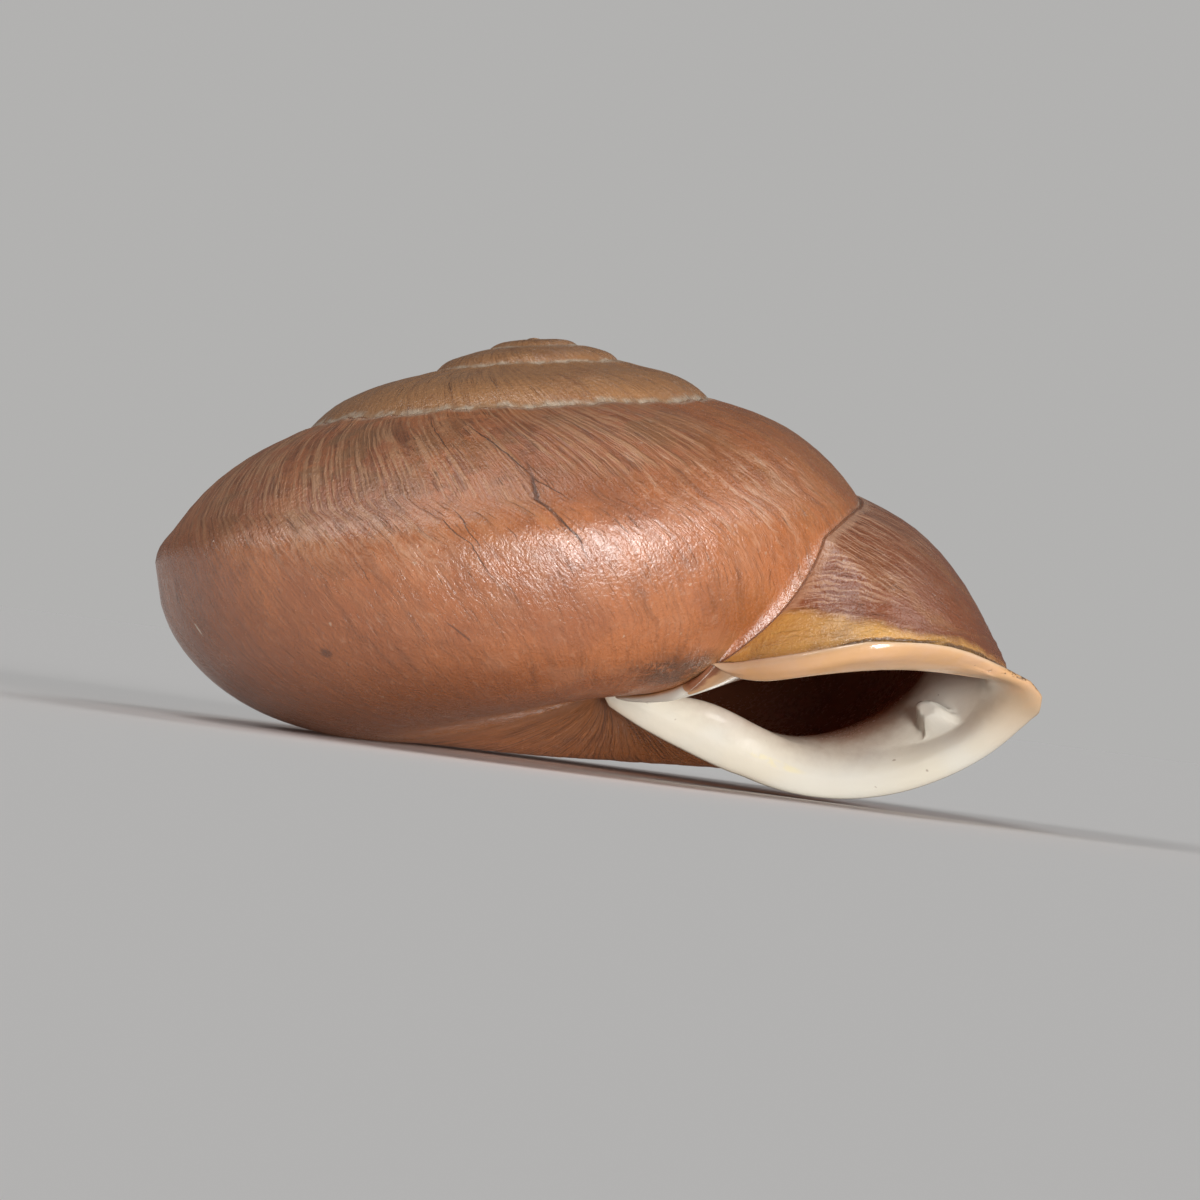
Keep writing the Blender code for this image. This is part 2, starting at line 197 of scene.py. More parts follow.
def guide(table, place):
    """Values of a guide table at the given places, on a smooth curve that never overshoots."""
    table = np.array(table, float)
    knots = table[:, 0]
    values = table[:, 1:]
    step = np.diff(knots)[:, None]
    slope = np.diff(values, axis=0) / step
    tangent = np.zeros_like(values)
    tangent[0] = slope[0]
    tangent[-1] = slope[-1]
    for i in range(1, len(knots) - 1):
        rising = slope[i - 1] * slope[i] > 0
        weight_in = 2 * step[i] + step[i - 1]
        weight_out = step[i] + 2 * step[i - 1]
        safe_in = np.where(rising, slope[i - 1], 1.0)
        safe_out = np.where(rising, slope[i], 1.0)
        mean = (weight_in + weight_out) / (weight_in / safe_in + weight_out / safe_out)
        tangent[i] = np.where(rising, mean, 0.0)
    place = np.clip(np.asarray(place, float), knots[0], knots[-1])
    k = np.clip(np.searchsorted(knots, place, side="right") - 1, 0, len(knots) - 2)
    width = step[k]
    t = ((place - knots[k]) / width[..., 0])[..., None]
    curve = (2 * t**3 - 3 * t**2 + 1) * values[k] + (3 * t**2 - 2 * t**3) * values[k + 1]
    curve = curve + width * ((t**3 - 2 * t**2 + t) * tangent[k] + (t**3 - t**2) * tangent[k + 1])
    return curve[..., 0] if curve.shape[-1] == 1 else curve


def length(vector):
    return np.maximum(np.linalg.norm(vector, axis=-1, keepdims=True), 1e-9)


def heading(vector):
    return vector / length(vector)


def eased(value, start, end):
    """0 before the start, 1 after the end, and smooth between."""
    t = np.clip((value - start) / (end - start), 0, 1)
    return t * t * (3 - 2 * t)


def turned(vector, degrees):
    """A flat vector turned anticlockwise."""
    angle = np.radians(degrees)
    x = vector[..., 0] * np.cos(angle) - vector[..., 1] * np.sin(angle)
    y = vector[..., 0] * np.sin(angle) + vector[..., 1] * np.cos(angle)
    return np.stack([x, y], -1)


def bezier(points, t):
    a, b, c, d = points
    return (1 - t) ** 3 * a + 3 * (1 - t) ** 2 * t * b + 3 * (1 - t) * t**2 * c + t**3 * d


def join_at(turn):
    """Span where the next whorl starts, with the suture's waver."""
    turn = np.asarray(turn, float)
    waver = sum(share * np.sin(2 * math.pi * waves * turn + start) for waves, share, start in SUTURE_WAVES)
    calm = 1 - eased(turn, *WAVER_ENDS)
    return guide(JOIN_SPAN, turn) + SUTURE_WAVER * waver * eased(turn, *WAVER_STARTS) * calm


def suture(turn):
    """Where the whorl starts: on the whorl one turn before it."""
    before = np.asarray(turn, float) - 1
    point = guide(SHOULDER, before)
    carried = before > 1.0
    if carried.any():
        point[carried] = section(before[carried], join_at(before[carried]))
    return point


def section(turn, span):
    """Distance from the axis and height of the whorl's outside, at a turn and a span."""
    turn, span = np.broadcast_arrays(np.asarray(turn, float), np.asarray(span, float))
    start = suture(turn)
    shoulder = guide(SHOULDER, turn)
    rim = guide(PERIPHERY, turn)
    base = guide(BASE, turn)
    navel = np.stack([np.zeros_like(turn), guide(NAVEL_HEIGHT, turn)], -1)
    round_rim = 1 - KEEL_PINCH * guide(KEEL, turn)[..., None]
    down = np.array([0.0, -1.0])
    inward = np.array([-1.0, 0.0])
    rise = turned(heading(shoulder - start), guide(CROWN, turn))
    fall = turned(heading(rim - start), -FLANK_BULGE)
    top = length(shoulder - start)
    side = length(rim - shoulder)
    drop = (rim - base)[..., 1:2]
    reach = (rim - base)[..., 0:1]
    floor = base[..., 0:1]
    crown = (start, start + HANDLE * top * rise, shoulder - HANDLE * top * fall, shoulder)
    flank = (shoulder, shoulder + HANDLE * side * fall, rim - RIM_HANDLE * side * round_rim * down, rim)
    belly = (rim, rim + BELLY_DROP * drop * round_rim * down, base - BELLY_REACH * reach * inward, base)
    curl = np.concatenate([NAVEL_CURL[0] * floor, NAVEL_CURL[1] * (base - navel)[..., 1:2]], -1)
    dish = (base, base + NAVEL_LEAD * floor * inward, navel + curl, navel)
    point = bezier(crown, span[..., None])
    for order, part in ((1, flank), (2, belly), (3, dish)):
        point = np.where((span >= order)[..., None], bezier(part, span[..., None] - order), point)
    return point


def coiled(turn, span):
    """The same point in space: turns run clockwise, seen from above."""
    flat = section(turn, span)
    angle = -2 * math.pi * (np.asarray(turn, float) - AXIS_TURN)
    inner = np.clip(np.asarray(span, float) - 3, 0, 1)
    pull = inner * inner * (3 - 2 * inner)
    x = flat[..., 0] * np.cos(angle) + NAVEL_OFFSET[0] * pull
    y = flat[..., 0] * np.sin(angle) + NAVEL_OFFSET[1] * pull
    return np.stack([x, y, flat[..., 1]], -1)


def unrolled(points):
    """Points in space as the sheet holds them: turn round the axis, distance from it, height."""
    x, y, z = np.array(points, float).T
    return np.stack([AXIS_TURN - np.arctan2(y, x) / (2 * math.pi), np.hypot(x, y), z], -1)


def row_turns():
    """Turns of the rows, whole turns apart where one whorl sits on another."""
    lean_from = MOUTH_TURN - LEAN_TURNS
    straight = np.linspace(MOUTH_TURN - 1, lean_from, STRAIGHT_ROWS + 1)[1:]
    leaning = MOUTH_TURN - LEAN_TURNS * np.linspace(1, 0, LEAN_ROWS + 1)[1:] ** ROW_CROWDING
    last = np.concatenate([straight, leaning])
    turns = np.concatenate([last - back for back in range(math.ceil(MOUTH_TURN), -1, -1)])
    return turns[turns > APEX_TURN]


def under_steps():
    """Shares of the way from the join to the navel, closer together at the start."""
    share = np.arange(1, WHORL_SPANS + 1) / WHORL_SPANS
    return share * (1 + SPAN_CROWDING * (share - 1))


def lean_at(turn, span):
    """Turn of a point in a row that leans back more and more towards the mouth."""
    lean_from = MOUTH_TURN - LEAN_TURNS
    share = np.clip((turn - lean_from) / LEAN_TURNS, 0, 1)
    return turn - share * guide(LEAN, span) / 360


class Sheet:
    """The wall laid flat: its points, what the finish needs to know at each, and its faces."""

    def __init__(self):
        self.points = []
        self.marks = {name: [] for name in MARKS}
        self.faces = []

    def add(self, points, **marks):
        first = len(self.points)
        self.points.extend(points)
        for name in MARKS:
            self.marks[name].extend(np.broadcast_to(marks[name], len(points)))
        return list(range(first, len(self.points)))

    def strip(self, lower, upper, closed=False):
        """Faces between two rows of the same length, leaving out edges that have shrunk away."""
        count = len(lower)
        for i in range(count if closed else count - 1):
            k = (i + 1) % count
            corners = []
            for corner in (lower[i], upper[i], upper[k], lower[k]):
                if corner not in corners:
                    corners.append(corner)
            if len(corners) > 2:
                self.faces.append(corners)


def growth_slope(grown, places):
    """Turns grown per millimetre of wall, straight across the growth lines."""
    by_row, by_span = np.gradient(grown)
    row_step, span_step = np.gradient(places, axis=(0, 1))
    e = (row_step**2).sum(-1)
    f = (row_step * span_step).sum(-1)
    g = (span_step**2).sum(-1)
    square = (g * by_row**2 - 2 * f * by_row * by_span + e * by_span**2) / np.maximum(e * g - f * f, 1e-12)
    return np.clip(np.sqrt(np.maximum(square, 0)), 1e-3, 1.0)


def outer_marks(turn, span, places):
    """Marks of the outside, from the turns, spans and places of its rows."""
    near_mouth = eased(turn, *EARLY_LEAN_ENDS)
    lean = guide(EARLY_LEAN, span) * (1 - near_mouth) + guide(LEAN, span) * near_mouth
    grown = turn + lean / 360
    steps = np.linalg.norm(np.diff(places, axis=1), axis=2)
    below = np.concatenate([np.zeros((len(places), 1)), np.cumsum(steps, axis=1)], axis=1)
    past_mouth = (turn - (MOUTH_TURN - 1)) * 2 * math.pi * np.hypot(places[..., 0], places[..., 1])
    glaze = (1 - eased(past_mouth, 0.0, GLAZE_EDGE)) * (past_mouth >= 0) * (span > GLAZE_SPAN)
    inward = (grown - MOUTH_TURN) / growth_slope(grown, places)
    foot = span - join_at(turn)
    return {"grown": grown, "below": below, "inward": inward, "around": span, "glaze": glaze, "foot": foot}


def outside(sheet):
    """The wall's outer face; gives back the two rows that border the mouth, and their spans."""
    turns = row_turns()
    per_turn = LEAN_ROWS + STRAIGHT_ROWS
    last = len(turns) - 1
    joins = join_at(turns)[:, None]
    spans = joins * (np.arange(SPIRE_SPANS + 1) / SPIRE_SPANS) ** SUTURE_CROWDING
    turned_rows = lean_at(turns[:, None], spans)
    places = coiled(turned_rows, spans)
    marks = outer_marks(turned_rows, spans, places)
    whole = slice(last - per_turn, last + 1)
    full_spans = np.concatenate([spans[whole], joins[whole] + (4 - joins[whole]) * under_steps()], axis=1)
    full_turns = lean_at(turns[whole, None], full_spans)
    full_places = coiled(full_turns, full_spans)
    full_marks = outer_marks(full_turns, full_spans, full_places)
    start = {"grown": 0, "below": 0, "inward": -99, "around": 0, "glaze": 0, "foot": -1}
    apex = sheet.add([(0.0, 0.0, SHOULDER[0][2])], **start)[0]
    end = {name: value[-1, -1] for name, value in full_marks.items()}
    navel = sheet.add(unrolled([coiled(MOUTH_TURN, 4.0)]), **end)[0]
    join_corners = []
    rows = []
    for number in range(len(turns)):
        first = apex if number < per_turn else join_corners[number - per_turn]
        if number >= last - per_turn:
            k = number - (last - per_turn)
            values = {name: value[k, 1:-1] for name, value in full_marks.items()}
            row = [first] + sheet.add(unrolled(full_places[k, 1:-1]), **values) + [navel]
        elif number == 0:
            values = {name: value[0, -1:] for name, value in marks.items()}
            row = [apex] + sheet.add(unrolled(places[0, -1:]), **values) * SPIRE_SPANS
        else:
            values = {name: value[number, 1:] for name, value in marks.items()}
            row = [first] + sheet.add(unrolled(places[number, 1:]), **values)
        join_corners.append(row[SPIRE_SPANS])
        if rows:
            short = min(len(rows[-1]), len(row))
            sheet.strip(rows[-1][:short], row[:short])
        rows.append(row)
    return rows[last], rows[last - per_turn], full_spans[-1]


def mouth_frame(stations, back, blunt=0.0):
    """Points round the tube's edge, some turns back from the mouth, the way it grew, and outwards.

    Blunt is 1 deep in the tube, where its corners at the suture and at the axis are filled.
    """
    outer = stations <= 4
    fresh = 1 - np.clip(back / LEAN_TURNS, 0, 1)
    first = blunt * SUTURE_FILL
    last = 4 - blunt * PILLAR_FILL
    on_whorl = np.where(outer, first + (last - first) * stations / 4, 0)
    first = 4 - blunt * (BODY_PILLAR_FILL + MOUTH_PILLAR_FILL * fresh)
    last = guide(JOIN_SPAN, MOUTH_TURN - 1 - back) + blunt * BODY_SUTURE_FILL
    across = np.where(outer, 4, first + (last - first) * (stations - 4))
    lean = fresh * guide(LEAN, on_whorl) / 360

    def at(shift):
        wall = coiled(MOUTH_TURN - back + shift - lean, on_whorl)
        body = coiled(MOUTH_TURN - 1 - back + shift, across)
        return np.where(outer[:, None], wall, body)

    nudge = 0.004
    place = at(0.0)
    forward = heading(at(nudge) - at(-nudge))
    if blunt:
        along = np.concatenate([np.gradient(place[part], axis=0) for part in (outer, ~outer)])
        return place, forward, heading(np.cross(forward, along))
    forward = smoothed(forward, FRAME_EVENING)
    along = np.roll(place, -1, 0) - np.roll(place, 1, 0)
    return place, forward, smoothed(heading(np.cross(forward, along)), FRAME_EVENING)


def room_across(place, stations):
    """How far the lip may swell before it meets the other side of the mouth."""
    outer = stations <= 4
    apart = np.linalg.norm(place[:, None] - place[None], axis=2)
    apart = np.where(outer[:, None] == outer[None], np.inf, apart).min(1)
    return apart * np.where(outer, LIP_ROOM, GLAZE_ROOM)


def smoothed(vectors, passes):
    for _ in range(passes):
        vectors = heading(vectors + 0.5 * (np.roll(vectors, 1, 0) + np.roll(vectors, -1, 0)))
    return vectors


def relaxed(points, ends, passes):
    """Points evened out along each stretch of the loop between the given ends."""
    points = points.copy()
    for _ in range(passes):
        middle = (np.roll(points, 1, 0) + 2 * points + np.roll(points, -1, 0)) / 4
        middle[ends] = points[ends]
        points = middle
    return points


def rolled(share, flare, swell, thick, slope):
    """How far outwards and ahead the lip's skin has gone, from 0 at the wall to 1 inside."""
    if share < LIP_START:
        return flare * share / LIP_START, 0 * thick
    roll = math.pi * (share - LIP_START) / (1 - LIP_START)
    across = math.cos(roll)
    if across < 0:
        across = across * (1 - slope) + (1 - 2 * roll / math.pi) * slope
    return (flare - swell) / 2 + (flare + swell) / 2 * across, thick * math.sin(roll)


def lip_marks(stations, inward):
    glaze = eased(stations, 3.95, 4.0)
    marks = {"grown": MOUTH_TURN, "below": 50.0, "inward": inward, "around": stations}
    return {**marks, "glaze": glaze, "foot": 9.0}


def add_lip(sheet, loop, stations, on_wall, corners):
    """The rolled lip round the mouth's edge; gives back its inner edge and how far that swells in."""
    place, forward, outward = mouth_frame(stations, 0.0)
    flare, thick, swell = guide(LIP, stations).T[:, :, None]
    droop = guide(DROOP, stations)[:, None] * np.array([0.0, 0.0, -1.0])
    swell = np.minimum(swell, room_across(place, stations)[:, None])
    slope = guide(FUNNEL, stations)[:, None]
    ring = loop
    spots = place
    inward = np.zeros(len(stations))
    for share in np.arange(1, LIP_RINGS + 1) / LIP_RINGS:
        out, ahead = rolled(share, flare, swell, thick, slope)
        spot = place + outward * out + forward * ahead + droop * np.clip(out / np.maximum(flare, 0.05), 0, 1)
        if share > 0.5:
            spot = relaxed(spot, corners, LIP_EVENING)
        inward = inward + np.linalg.norm(spot - spots, axis=1)
        spots = spot
        # The lip runs out to nothing at the axis.
        marks = lip_marks(stations, inward)
        thinned = {}
        for name, value in marks.items():
            thinned[name] = np.delete(np.broadcast_to(value, len(stations)), on_wall - 1)
        following = sheet.add(unrolled(np.delete(spot, on_wall - 1, 0)), **thinned)
        following.insert(on_wall - 1, loop[on_wall - 1])
        sheet.strip(ring, following, closed=True)
        ring = following
    return ring, swell, inward, spots


def knob(stations, inward, lip_width, spots):
    """How far the wall swells into the tube at the knob."""
    peak = np.argmin(np.abs(stations - KNOB_AROUND))
    round_edge = np.linalg.norm(spots - spots[peak], axis=1) * np.sign(stations - KNOB_AROUND)
    keel_side, base_side, along = KNOB_SLOPES
    width = np.where(round_edge < 0, keel_side, base_side)
    depth = (inward - lip_width[peak] - KNOB_IN) / along
    near = np.abs(stations - KNOB_AROUND) < 1.2
    reach = np.sqrt((round_edge / width) ** 2 + depth**2)
    return KNOB_HEIGHT * (1 - eased(reach, *KNOB_REACH)) * near


def add_hollow(sheet, ring, swell, inward, spots, stations, on_wall, corners):
    """The tube inside, from the lip's inner edge back to a blind end."""
    on_body = len(stations) - on_wall
    even = np.concatenate([np.linspace(0, 4, on_wall), np.linspace(4, 5, on_body + 1)[1:]])
    backs = HOLLOW_TURNS * (np.arange(1, HOLLOW_RINGS + 1) / HOLLOW_RINGS) ** RING_CROWDING
    lip_width = inward
    for back in backs:
        deep = min(back / FILL_TURNS, 1)
        spread = stations + deep * (even - stations)
        place, _, outward = mouth_frame(spread, back, deep)
        wall = guide(WALL, spread)[:, None]
        onset = back / THROAT_TURNS * math.exp(1 - back / THROAT_TURNS)
        throat = guide(THROAT, spread)[:, None] * onset ** (2 - guide(FUNNEL, spread)[:, None])
        spot = place - outward * (swell + deep * (wall - swell) + throat)
        spot = relaxed(spot, corners, TUBE_EVENING)
        inward = inward + np.linalg.norm(spot - spots, axis=1)
        spots = spot
        spot = spot - outward * knob(spread, inward, lip_width, spot)[:, None]
        following = sheet.add(unrolled(spot), **lip_marks(spread, inward))
        sheet.strip(ring, following, closed=True)
        ring = following
    # The blind end is closed by rungs from the suture corner down to the pillar.
    body_side = ring[on_wall:][::-1]
    share = np.linspace(0, on_body - 1, on_wall)
    sheet.strip(ring[:on_wall], [body_side[k] for k in np.rint(share).astype(int)])


def lay_sheet():
    sheet = Sheet()
    edge, across, spans = outside(sheet)
    loop = edge + across[SPIRE_SPANS + 1:-1][::-1]
    stations = np.concatenate([spans, 5 - under_steps()[:-1][::-1]])
    on_wall = len(edge)
    corners = [0, on_wall - 2, on_wall - 1, on_wall, len(loop) - 1]
    ring, swell, inward, spots = add_lip(sheet, loop, stations, on_wall, corners)
    add_hollow(sheet, ring, swell, inward, spots, stations, on_wall, corners)
    return sheet


# Node trees -------------------------------------------------------------------------------------


class Net:
    """A node tree as it is wired: each call adds nodes and, but for put and feed, gives back a socket."""

    def __init__(self, tree):
        self.tree = tree

    def put(self, kind, values=None, **settings):
        """A node with its settings, and its inputs fed from sockets or set to values."""
        node = self.tree.nodes.new(kind)
        for name, value in settings.items():
            setattr(node, name, value)
        for name, value in (values or {}).items():
            self.feed(node.inputs[name], value)
        return node

    def feed(self, socket, value):
        if isinstance(value, bpy.types.NodeSocket):
            self.tree.links.new(value, socket)
        else:
            socket.default_value = value

    def reckon(self, operation, *values):
        """One step of arithmetic on sockets or numbers."""
        return self.put("ShaderNodeMath", dict(enumerate(values)), operation=operation).outputs[0]

    def chain(self, operation, result, *others):
        for other in others:
            result = self.reckon(operation, result, other)
        return result

    def times(self, *values):
        return self.chain("MULTIPLY", *values)

    def plus(self, *values):
        return self.chain("ADD", *values)

    def most(self, *values):
        return self.chain("MAXIMUM", *values)

    def less(self, whole, part):
        return self.reckon("SUBTRACT", whole, part)

    def ratio(self, whole, part):
        return self.reckon("DIVIDE", whole, part)

    def rising(self, value, start, end, low=0.0, high=1.0):
        """Low below the start and high above the end, and smooth between; the ends may come reversed."""
        if isinstance(start, (int, float)) and isinstance(end, (int, float)) and start > end:
            start, end, low, high = end, start, high, low
        values = {"Value": value, "From Min": start, "From Max": end, "To Min": low, "To Max": high}
        return self.put("ShaderNodeMapRange", values, interpolation_type="SMOOTHSTEP").outputs["Result"]

    def vector(self, x, y, z):
        return self.put("ShaderNodeCombineXYZ", {"X": x, "Y": y, "Z": z}).outputs[0]

    def scaled(self, vector, scale):
        return self.put("ShaderNodeVectorMath", {0: vector, "Scale": scale}, operation="SCALE").outputs[0]

    def length(self, x, y, z):
        values = {0: self.vector(x, y, z)}
        return self.put("ShaderNodeVectorMath", values, operation="LENGTH").outputs["Value"]

    def noise(self, place, scale, detail=2.0, roughness=0.5):
        values = {"Vector": place, "Scale": scale, "Detail": detail, "Roughness": roughness}
        return self.put("ShaderNodeTexNoise", values).outputs[0]

    def coat(self, under, over, *amounts):
        """One colour laid over another, as thickly as the amounts multiplied together."""
        values = {"Factor": self.times(*amounts), 6: under, 7: over}
        return self.put("ShaderNodeMix", values, data_type="RGBA").outputs[2]

    def group(self, tree, values):
        return self.put("ShaderNodeGroup", values, node_tree=tree).outputs[0]


SOCKETS = {
    float: "NodeSocketFloat", int: "NodeSocketInt", tuple: "NodeSocketVector",
    type(None): "NodeSocketGeometry",
}


def new_group(name, kind, inputs, result):
    """A node group with named inputs and one result: its net, and what it is given."""
    tree = bpy.data.node_groups.new(name, kind)
    for label, value in inputs:
        socket = tree.interface.new_socket(label, in_out="INPUT", socket_type=SOCKETS[type(value)])
        if value is not None:
            socket.default_value = value
    label, value = result
    tree.interface.new_socket(label, in_out="OUTPUT", socket_type=SOCKETS[type(value)])
    net = Net(tree)
    return net, net.put("NodeGroupInput").outputs


COIL_INPUTS = (
    ("Sheet", None),
    ("Unit", MM),
    ("Ridge height", 0.09),
    ("Ridge spacing", 1.1),
    ("Dimple height", 0.05),
    ("Dimple size", 1.5),
    ("Suture cord height", 0.05),
    ("Furrow depth", 0.16),
    ("Lip softening", 16),
    ("Seed", float(SEED)),
    ("Rest turn", (0.0, 0.0, 0.0)),
    ("Foot", (0.0, 0.0, 0.0)),
)
# Millimetres of wall grown in one turn, at the middle of the last whorl.
WALL_PER_TURN = 138.0
# The lip is softened from the bead to the tube, in millimetres in over it, but not round the knob.
SOFT_FROM = (2.3, 3.6)
SOFT_UNTIL = (12.0, 8.0)
KNOB_KEPT = (0.12, 0.34)
# The suture's cord and the furrow behind the lip: where each rises, then where it falls away.
CORD_ACROSS = ((0.0, 0.35), (1.6, 0.5))
FURROW_ACROSS = ((-0.9, -0.25), (0.35, -0.1))
FURROW_ROUND = ((0.05, 0.3), (2.1, 1.7))
# The ridges and dimples fade out this far behind the lip.
RELIEF_FADE = (-0.3, -1.2)


def coil_tree(material):
    """The tree that coils the flat sheet, raises its relief and lays the shell down."""
    net, given = new_group("Coil the wall", "GeometryNodeTree", COIL_INPUTS, ("Shell", None))
    put, times, less, rising, vector = net.put, net.times, net.less, net.rising, net.vector
    marks = {}
    for name in MARKS:
        mark = put("GeometryNodeInputNamedAttribute", {"Name": name}, data_type="FLOAT")
        marks[name] = mark.outputs["Attribute"]
    inward = marks["inward"]
    around = marks["around"]

    def shape(kind, given_shape, **values):
        return put(kind, {"Geometry": given_shape, **values}).outputs[0]

    def between(mark, ends):
        return times(*(rising(mark, *end) for end in ends))

    place = put("GeometryNodeInputPosition").outputs[0]
    flat = put("ShaderNodeSeparateXYZ", {0: place}).outputs
    angle = times(less(flat[0], AXIS_TURN), -2 * math.pi)
    x = times(flat[1], net.reckon("COSINE", angle))
    y = times(flat[1], net.reckon("SINE", angle))
    coil = shape("GeometryNodeSetPosition", given["Sheet"], Position=vector(x, y, flat[2]))

    # The lip runs on into the tube without a crease, but keeps its knob.
    near, far = KNOB_KEPT
    after_knob = rising(around, KNOB_AROUND + near, KNOB_AROUND + far)
    before_knob = rising(around, KNOB_AROUND - near, KNOB_AROUND - far)
    beside_knob = net.most(after_knob, before_knob)
    softened = times(between(inward, (SOFT_FROM, SOFT_UNTIL)), beside_knob)
    values = {"Value": place, "Iterations": given["Lip softening"], "Weight": softened}
    even = put("GeometryNodeBlurAttribute", values, data_type="FLOAT_VECTOR").outputs[0]
    coil = shape("GeometryNodeSetPosition", coil, Position=even)

    along = times(marks["grown"], WALL_PER_TURN)
    lined = vector(along, times(marks["below"], 0.12), given["Seed"])
    ridge = net.noise(lined, net.ratio(1.0, given["Ridge spacing"]), 1.5)
    dimple = net.noise(place, net.ratio(1.0, given["Dimple size"]), 1.0)
    ridge = times(less(ridge, 0.5), given["Ridge height"])
    dimple = times(less(dimple, 0.5), given["Dimple height"])
    cord = times(between(marks["below"], CORD_ACROSS), given["Suture cord height"])
    relief = times(net.plus(ridge, dimple, cord), rising(inward, *RELIEF_FADE))
    # A shallow furrow runs behind the upper part of the lip.
    furrow = times(between(inward, FURROW_ACROSS), between(around, FURROW_ROUND))
    relief = less(relief, times(furrow, given["Furrow depth"]))
    offset = net.scaled(put("GeometryNodeInputNormal").outputs[0], relief)
    raised = shape("GeometryNodeSetPosition", coil, Offset=offset)

    unit = given["Unit"]
    laid = shape("GeometryNodeTransform", raised, Rotation=given["Rest turn"], Scale=vector(unit, unit, unit))
    stood = shape("GeometryNodeTransform", laid, Translation=net.scaled(given["Foot"], unit))
    real = shape("GeometryNodeRealizeInstances", stood)
    put("NodeGroupOutput", {"Shell": shape("GeometryNodeSetMaterial", real, Material=material)})
    return net.tree


def rest_turn():
    pitch = Matrix.Rotation(math.radians(REST_PITCH), 3, "X")
    return pitch @ Matrix.Rotation(math.radians(REST_ROLL), 3, "Y")


def foot_of(points):
    """What brings the middle of the resting shell's foot to the origin, in millimetres."""
    turn, radius, height = np.array(points).T
    angle = -2 * math.pi * (turn - AXIS_TURN)
    space = np.stack([radius * np.cos(angle), radius * np.sin(angle), height], -1)
    space = space @ np.array(rest_turn()).T
    low = space.min(0)
    high = space.max(0)
    return -np.array([(low[0] + high[0]) / 2, (low[1] + high[1]) / 2, low[2]])


def build_shell(material):
    """The finished shell as one plain mesh, and where its foot is."""
    sheet = lay_sheet()
    mesh = bpy.data.meshes.new("flat wall")
    mesh.from_pydata(np.array(sheet.points).tolist(), [], sheet.faces)
    for name in MARKS:
        layer = mesh.attributes.new(name, "FLOAT", "POINT")
        layer.data.foreach_set("value", np.array(sheet.marks[name], np.float32))
    mesh.shade_smooth()
    flat = bpy.data.objects.new("flat_wall", mesh)
    bpy.context.scene.collection.objects.link(flat)
    tree = coil_tree(material)
    coil = flat.modifiers.new("coil", "NODES")
    coil.node_group = tree
    foot = foot_of(sheet.points)
    settings = {**dict(COIL_INPUTS), "Rest turn": rest_turn().to_euler("XYZ"), "Foot": foot}
    for item in tree.interface.items_tree:
        if item.in_out == "INPUT" and settings[item.name] is not None:
            coil[item.identifier] = settings[item.name]
    graph = bpy.context.evaluated_depsgraph_get()
    done = bpy.data.meshes.new_from_object(flat.evaluated_get(graph), depsgraph=graph)
    flat.modifiers.clear()
    bpy.data.objects.remove(flat, do_unlink=True)
    done.name = "snail_shell"
    shell = bpy.data.objects.new("snail_shell", done)
    bpy.context.scene.collection.objects.link(shell)
    return shell, foot


# Finish -----------------------------------------------------------------------------------------


def streak_group():
    """Streaks that follow the growth lines, from 0 to 1."""
    inputs = (
        ("Along", 0.0), ("Down", 0.0), ("Width", 0.5), ("Length", 8.0), ("Wander", 0.3), ("Seed", 0.0),
    )
    net, given = new_group("Growth streaks", "ShaderNodeTree", inputs, ("Streaks", 0.0))
    shaken = net.vector(given["Along"], given["Down"], given["Seed"])
    shake = net.less(net.noise(shaken, 0.45, 3.0), 0.5)
    across = net.plus(given["Along"], net.times(shake, given["Wander"], 4.0))
    x = net.ratio(across, given["Width"])
    y = net.ratio(given["Down"], given["Length"])
    net.put("NodeGroupOutput", {"Streaks": net.noise(net.vector(x, y, given["Seed"]), 1.0, 3.0, 0.6)})
    return net.tree


def patch_group():
    """A patch at a place on the wall, 1 inside it and 0 outside; Rag eats into its edge."""
    inputs = (
        ("Along", 0.0), ("Down", 0.0), ("At along", 0.0), ("At down", 0.0), ("Half width", 1.0),
        ("Half length", 1.0), ("Slant", 0.0), ("Rag", 0.0), ("Softness", 0.3),
    )
    net, given = new_group("Ragged patch", "ShaderNodeTree", inputs, ("Mask", 0.0))
    down = net.less(given["Down"], given["At down"])
    across = net.less(given["Along"], given["At along"])
    across = net.less(across, net.times(down, given["Slant"]))
    x = net.ratio(across, given["Half width"])
    y = net.ratio(down, given["Half length"])
    reach = net.plus(net.length(x, y, given["Rag"]), given["Rag"])
    inner = net.less(1.0, given["Softness"])
    outer = net.plus(1.0, given["Softness"])
    net.put("NodeGroupOutput", {"Mask": net.less(1.0, net.rising(reach, inner, outer))})
    return net.tree


def colour(red, green, blue):
    return (red, green, blue, 1.0)


# Skin colours.
TAN = colour(0.43, 0.20, 0.075)
RED_BROWN = colour(0.36, 0.108, 0.032)
ORANGE_BROWN = colour(0.47, 0.150, 0.044)
MAROON = colour(0.23, 0.062, 0.021)
DARK_BROWN = colour(0.11, 0.034, 0.010)
RUST = colour(0.225, 0.064, 0.013)
STREAK_BROWN = colour(0.170, 0.052, 0.014)
OLIVE_BROWN = colour(0.24, 0.110, 0.034)
RIB_TAN = colour(0.50, 0.245, 0.115)
WORN_PINK = colour(0.60, 0.34, 0.21)
BASE_RUST_AND_PAINTED_LIGHT = colour(0.66, 0.235, 0.060)
OCHRE = colour(0.70, 0.36, 0.085)
DUSTY_WHITE = colour(0.72, 0.60, 0.46)
